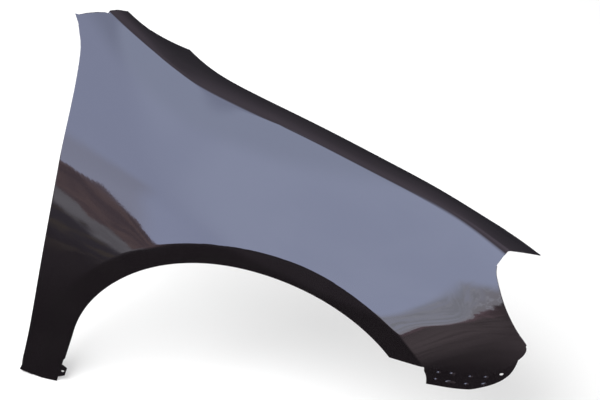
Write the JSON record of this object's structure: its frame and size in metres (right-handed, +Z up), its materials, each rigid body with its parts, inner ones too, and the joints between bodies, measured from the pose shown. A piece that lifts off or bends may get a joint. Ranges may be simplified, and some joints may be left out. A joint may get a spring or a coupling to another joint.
{
  "type": "car front fender",
  "caption": "Right-hand front fender of a small car: one pressed steel panel with a round wheel arch, a bonnet rail and return flanges, painted black.",
  "frame": {"origin": "upper face of a flat bolt pad on the bonnet rail, 14 mm ahead of its bolt hole, third pad from the rear", "axes": "+X toward the front of the car, +Y toward the middle of the car, +Z up; the outer face looks along -Y"},
  "size_m": [0.9774, 0.2641, 0.8155],
  "materials": {
    "black_paint": "gloss"
  },
  "bodies": {
    "root": {"fender_panel": "black_paint"}
  },
  "joints": []
}
